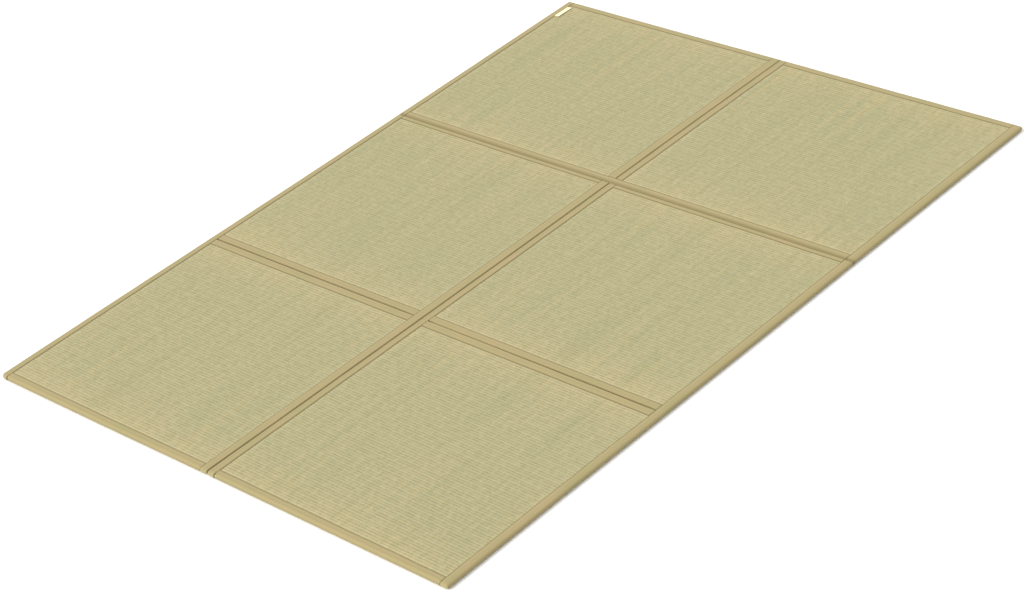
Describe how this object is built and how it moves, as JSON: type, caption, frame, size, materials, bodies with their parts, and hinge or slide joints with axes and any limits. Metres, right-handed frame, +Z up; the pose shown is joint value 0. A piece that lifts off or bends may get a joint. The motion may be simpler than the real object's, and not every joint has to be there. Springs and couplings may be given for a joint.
{
  "type": "folding rush floor mat",
  "caption": "Thin folding floor mat of woven rush, lying open: rush panels, each edged with plain cloth tape and joined to the next along soft fold lines.",
  "frame": {"origin": "middle of the underside, on the floor, below the middle panels", "axes": "+X across the mat, towards the long edge without the label; +Y along the mat, towards the end with the label; +Z up"},
  "size_m": [1.4038, 1.8934, 0.0148],
  "materials": {
    "woven_rush": "dry woven rush, ribbed across the mat, slightly silky",
    "cotton_tape": "matt khaki binding tape, plain weave",
    "label_cloth": "matt cream woven label, bare"
  },
  "bodies": {
    "root": {"rush_front_left": "woven_rush", "rush_front_right": "woven_rush", "rush_middle_left": "woven_rush", "rush_middle_right": "woven_rush", "rush_back_left": "woven_rush", "rush_back_right": "woven_rush", "side_left_front": "cotton_tape", "side_right_front": "cotton_tape", "side_left_back": "cotton_tape", "side_right_back": "cotton_tape", "centre_left_front": "cotton_tape", "centre_right_front": "cotton_tape", "centre_left_back": "cotton_tape", "centre_right_back": "cotton_tape", "end_front_left": "cotton_tape", "end_front_right": "cotton_tape", "end_back_left": "cotton_tape", "end_back_right": "cotton_tape", "near_fold_front_left": "cotton_tape", "near_fold_front_right": "cotton_tape", "near_fold_back_left": "cotton_tape", "near_fold_back_right": "cotton_tape", "far_fold_front_left": "cotton_tape", "far_fold_front_right": "cotton_tape", "far_fold_back": "cotton_tape", "label_tab": "label_cloth"}
  },
  "joints": []
}
